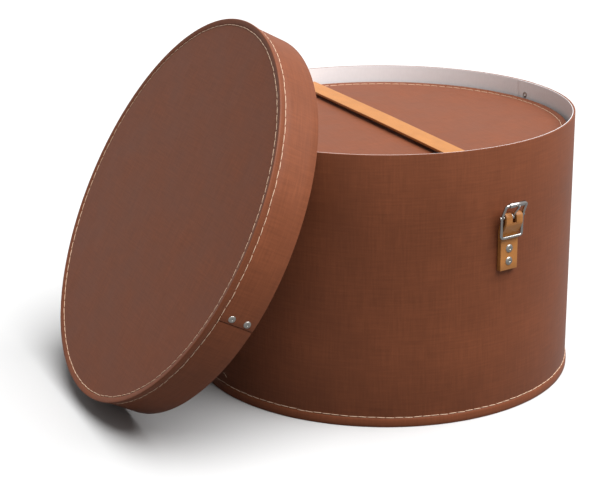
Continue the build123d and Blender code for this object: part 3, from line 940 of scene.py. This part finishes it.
class HATBOX_OT_sewing(bpy.types.Operator):
    """Every row of stitches"""
    bl_idname = "hatbox.sewing"
    bl_label = "Sewing"

    def execute(self, context):
        lift = sizes().thread * THREAD_LIFT
        rows = [("lid", "lid", LID_FACE, LID_RADIUS, LID_SEAM),
                ("inner_lid", "inner_box", INNER_LID_FACE, INNER_LID_RADIUS, INNER_LID_SEAM)]
        for seed, (prefix, body, face, radius, seam) in enumerate(rows):
            stitch_row(f"{prefix}_face_stitches", face, radius - FACE_ROW, lift, 0, body,
                       [f"{prefix}_face_stitching"], 10 + seed)
            stitch_row(f"{prefix}_side_stitches", face, radius + lift, -SIDE_ROW, 1, body,
                       [f"{prefix}_side_stitching"], 20 + seed, seam=seam)
        for seed, (prefix, body, radius, azimuth) in enumerate([
                ("outer", "box", BIG_RADIUS, SEAM_AZIMUTH),
                ("inner", "inner_box", SMALL_RADIUS, INNER_SEAM_AZIMUTH)]):
            low, high = extent(f"{prefix}_base_stitching")
            stitch_row(f"{prefix}_bottom_stitches", UPRIGHT, radius + lift,
                       (low.z + high.z) / 2, 1, body, [f"{prefix}_base_stitching"], 30 + seed,
                       seam=azimuth - LAP_OVER / radius,
                       tail=THREAD_END if prefix == "outer" else None)
        return {"FINISHED"}


class HATBOX_OT_rivets(bpy.types.Operator):
    """Rivets of the lapped seams, the buckle tabs and the straps"""
    bl_idname = "hatbox.rivets"
    bl_label = "Rivets"

    def execute(self, context):
        for prefix, body, radius, azimuth, count in (
                ("outer", "box", BIG_RADIUS, SEAM_AZIMUTH, 5),
                ("inner", "inner_box", SMALL_RADIUS, INNER_SEAM_AZIMUTH, 4)):
            name = f"{prefix}_seam_rivets"
            proud = sizes().lap_step * 0.9
            places = [upright(azimuth, radius + proud, z)
                      for z in rivet_heights(name, count, DRAWN_SEAM_HEAD)]
            rivet_group(f"{prefix}_seam_rivet_set", places, SEAM_HEAD, SEAM_CROWN,
                        GRIP + proud + 0.7 * sizes().lap_step, body, name)
        for prefix, body, face, radius, angle in (
                ("lid", "lid", LID_FACE, LID_RADIUS, LID_RIVETS),
                ("inner_lid", "inner_box", INNER_LID_FACE, INNER_LID_RADIUS, INNER_LID_RIVETS)):
            places = []
            for drop in LID_RIVET_DROPS:
                turn = face @ Matrix.Rotation(angle, 4, "Z")
                seat = Matrix.Translation((radius + sizes().lap_step * 0.95, 0, -drop))
                places.append(turn @ seat @ Matrix.Rotation(math.pi / 2, 4, "Y"))
            rivet_group(f"{prefix}_seam_rivet_set", places, SEAM_HEAD, SEAM_CROWN, LID_GRIP, body,
                        f"{prefix}_seam_rivets")
        for name, body, radius, azimuth, leather_mm, head in (
                ("buckle_tab_rivets", "box", BIG_RADIUS, TAB_AZIMUTH, 4.25, STRAP_HEAD),
                ("carry_strap_rivets", "box", BIG_RADIUS, BACK_AZIMUTH, 2.25, STRAP_HEAD),
                ("inner_buckle_tab_rivets", "inner_box", SMALL_RADIUS, FRONT, 3.25, SEAM_HEAD),
                ("inner_strap_rivets", "inner_box", SMALL_RADIUS, REAR, 2.25, STRAP_HEAD)):
            depth = leather_mm * MM
            drawn = DRAWN_SEAM_HEAD if head == SEAM_HEAD else head
            places = [upright(azimuth, radius + depth, z) for z in rivet_heights(name, 2, drawn)]
            rivet_group(f"{name}_set", places, head, STRAP_CROWN, GRIP + depth, body, name)
        return {"FINISHED"}


class HATBOX_OT_buckles(bpy.types.Operator):
    """Leather tabs and roller buckles of both boxes"""
    bl_idname = "hatbox.buckles"
    bl_label = "Buckles"

    def execute(self, context):
        bar = Vector(joint("buckle_swing")["pos_m"])
        make_buckle("buckle", upright(TAB_AZIMUTH, BIG_RADIUS, bar.z), "buckle_frame",
                    "buckle_roller", "buckle_prong", leaf=2.1, depths=(6.6, 12.0, 6.2), wire=1.4,
                    roller=2.2, pin=1.05, reach=14.4)
        roller = Vector(joint("inner_roller_spin")["pos_m"])
        make_buckle("inner_buckle", upright(FRONT, SMALL_RADIUS, roller.z - TOP_BAR),
                    "inner_box", "inner_buckle_roller", "inner_box", leaf=1.6,
                    depths=(3.0, 4.7, 7.1), wire=1.1, roller=1.8, pin=0.85, reach=12.8)
        return {"FINISHED"}


class HATBOX_OT_straps(bpy.types.Operator):
    """The big box's hanging strap and the small box's strap over its lid"""
    bl_idname = "hatbox.straps"
    bl_label = "Straps"

    def execute(self, context):
        width, thick = STRAP_WIDTH, STRAP_THICK
        on_wall = FIT + thick / 2
        hinge = Vector(joint("carry_strap_swing")["pos_m"])
        bow = math.hypot(hinge.x, hinge.y) - BIG_RADIUS
        foot = extent("carry_strap_root")[0].z
        bow_top = extent("carry_strap_root")[1].z - thick / 2
        back = upright(BACK_AZIMUTH, BIG_RADIUS, 0)
        bend = bow / 2 - 1 * MM
        line = [(on_wall, foot), (on_wall, bow_top), (bow, bow_top), (bow, thick / 2),
                (bow + STRAP_ON_FLOOR, thick / 2)]
        punch = sizes().prong_hole / 2
        holes = [(-(FIRST_HOLE + HOLE_PITCH * i), punch, punch) for i in range(STRAP_HOLES)]
        strap = leather("carry_strap_whole", None, ["carry_strap_root", "carry_strap"], back, line,
                        [bend, bend, 24 * MM], width, thick, holes=holes, tip=14 * MM)
        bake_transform(strap)

        crest = extent("inner_lid_edge_binding")[1].z
        over_skirt = INNER_LID_RADIUS + 1.7 * MM + thick / 2 - SMALL_RADIUS
        over_top = crest + 1.6 * MM + thick / 2
        bar = joint("inner_roller_spin")["pos_m"][2] - TOP_BAR
        front = [(4.65, -25), (4.65, -14), (7.4, -0.5), (6.7, 3.8), (1.45, 10.2), (1.45, 17)]
        line = [(SMALL_RADIUS + out * MM, bar + up * MM) for out, up in front]
        corner = SMALL_RADIUS + over_skirt
        line += [(corner, bar + 30 * MM), (corner, over_top), (0, over_top + 0.8 * MM),
                 (-corner, over_top), (-corner, 188 * MM), (-SMALL_RADIUS - on_wall, 166 * MM),
                 (-SMALL_RADIUS - on_wall, 121 * MM)]
        turns = [t * MM for t in (4, 4, 2, 2.5, 2.5, 6, 4, 300, 4, 12, 12)]
        leather("inner_strap_whole", "inner_box", ["inner_strap"],
                upright(FRONT, 0, 0), line, turns, width, thick,
                holes=[(32 * MM, 4.8 * MM, 1.3 * MM), (64.5 * MM, punch, punch),
                       (82.5 * MM, punch, punch)])
        return {"FINISHED"}


class HATBOX_OT_finishes(bpy.types.Operator):
    """Materials of the frame's own nodes"""
    bl_idname = "hatbox.finishes"
    bl_label = "Frame finishes"

    def execute(self, context):
        slots = {s["node"]: s["material_slot"] for s in frame["record"]["subparts"]}
        for name, obj in frame["nodes"].items():
            obj.data.materials.clear()
            obj.data.materials.append(materials()[slots[name]])
        return {"FINISHED"}


class HATBOX_OT_stage(bpy.types.Operator):
    """Floor, lights, white surround and camera"""
    bl_idname = "hatbox.stage"
    bl_label = "Stage"

    def execute(self, context):
        scene = context.scene
        stage = scene.hat_box_stage
        bm = bmesh.new()
        bmesh.ops.create_grid(bm, x_segments=1, y_segments=1, size=FLOOR_HALF)
        mesh = bpy.data.meshes.new("floor")
        bm.to_mesh(mesh)
        bm.free()
        floor = bpy.data.objects.new("floor", mesh)
        scene.collection.objects.link(floor)
        material, tree, shader = new_material("studio_floor_matte", roughness=0.9, specular=0.1)
        seen = node(tree, "ShaderNodeLightPath").outputs["Is Camera Ray"]
        pale = blend_colour(tree, seen, rgba(colours().floor_bounce), rgba(colours().floor))
        dress(tree, shader, pale)
        mesh.materials.append(material)

        world = bpy.data.worlds.new("studio")
        scene.world = world
        world.use_nodes = True
        tree = world.node_tree
        surround = tree.nodes["Background"]
        surround.inputs["Strength"].default_value = stage.fill
        white = node(tree, "ShaderNodeBackground", {"Color": WHITE, "Strength": 1.0})
        path = node(tree, "ShaderNodeLightPath").outputs
        surround.inputs["Color"].default_value = WHITE
        shiny = node(tree, "ShaderNodeBackground", {"Color": WHITE, "Strength": stage.backdrop})
        lit = node(tree, "ShaderNodeMixShader", {0: path["Is Glossy Ray"], 1: surround.outputs[0],
                                                 2: shiny.outputs[0]})
        both = node(tree, "ShaderNodeMixShader", {0: path["Is Camera Ray"], 1: lit.outputs[0],
                                                  2: white.outputs[0]})
        tree.links.new(both.outputs[0], tree.nodes["World Output"].inputs["Surface"])

        light = bpy.data.lights.new("key_light", "SUN")
        light.energy = stage.key
        light.angle = stage.key_spread
        lamp = bpy.data.objects.new("key_light", light)
        lamp.matrix_world = Vector(KEY_HEADING).to_track_quat("-Z", "Y").to_matrix().to_4x4()
        scene.collection.objects.link(lamp)

        view = bpy.data.cameras.new("camera")
        view.lens = stage.lens
        view.sensor_width = 36
        view.clip_end = 50
        camera = bpy.data.objects.new("camera", view)
        ahead = Vector(CAMERA_HEADING).normalized()
        roll = Matrix.Rotation(CAMERA_ROLL, 4, "Z")
        turned = ahead.to_track_quat("-Z", "Y").to_matrix().to_4x4() @ roll
        camera.matrix_world = Matrix.Translation(CAMERA_PLACE) @ turned
        scene.collection.objects.link(camera)
        scene.camera = camera
        scene.view_settings.view_transform = "Standard"
        return {"FINISHED"}


class HATBOX_PT_panel(bpy.types.Panel):
    """Lists the steps that make the hat box"""
    bl_idname = "HATBOX_PT_panel"
    bl_label = "Hat Box"
    bl_space_type = "VIEW_3D"
    bl_region_type = "UI"
    bl_category = "Hat Box"

    def draw(self, context):
        for operator in OPERATORS:
            self.layout.operator(operator.bl_idname)
        for group in ("hat_box_sizes", "hat_box_colours", "hat_box_stage"):
            box = self.layout.box()
            settings = getattr(context.scene, group)
            for key in settings.__annotations__:
                box.prop(settings, key)


GROUPS = {"hat_box_sizes": HatBoxSizes, "hat_box_colours": HatBoxColours,
          "hat_box_stage": HatBoxStage}
OPERATORS = (HATBOX_OT_big_box, HATBOX_OT_small_box, HATBOX_OT_lids, HATBOX_OT_sewing,
             HATBOX_OT_rivets, HATBOX_OT_buckles, HATBOX_OT_straps, HATBOX_OT_finishes,
             HATBOX_OT_stage)


def register():
    for cls in (*GROUPS.values(), *OPERATORS, HATBOX_PT_panel):
        bpy.utils.register_class(cls)
    for name, group in GROUPS.items():
        setattr(bpy.types.Scene, name, bpy.props.PointerProperty(type=group))


def unregister():
    for name in GROUPS:
        delattr(bpy.types.Scene, name)
    for cls in (HATBOX_PT_panel, *reversed(OPERATORS), *GROUPS.values()):
        bpy.utils.unregister_class(cls)


def main():
    register()
    bpy.ops.hatbox.big_box()
    bpy.ops.hatbox.small_box()
    bpy.ops.hatbox.lids()
    bpy.ops.hatbox.sewing()
    bpy.ops.hatbox.rivets()
    bpy.ops.hatbox.buckles()
    bpy.ops.hatbox.straps()
    bpy.ops.hatbox.finishes()
    bpy.ops.hatbox.stage()


if __name__ == "__main__":
    main()
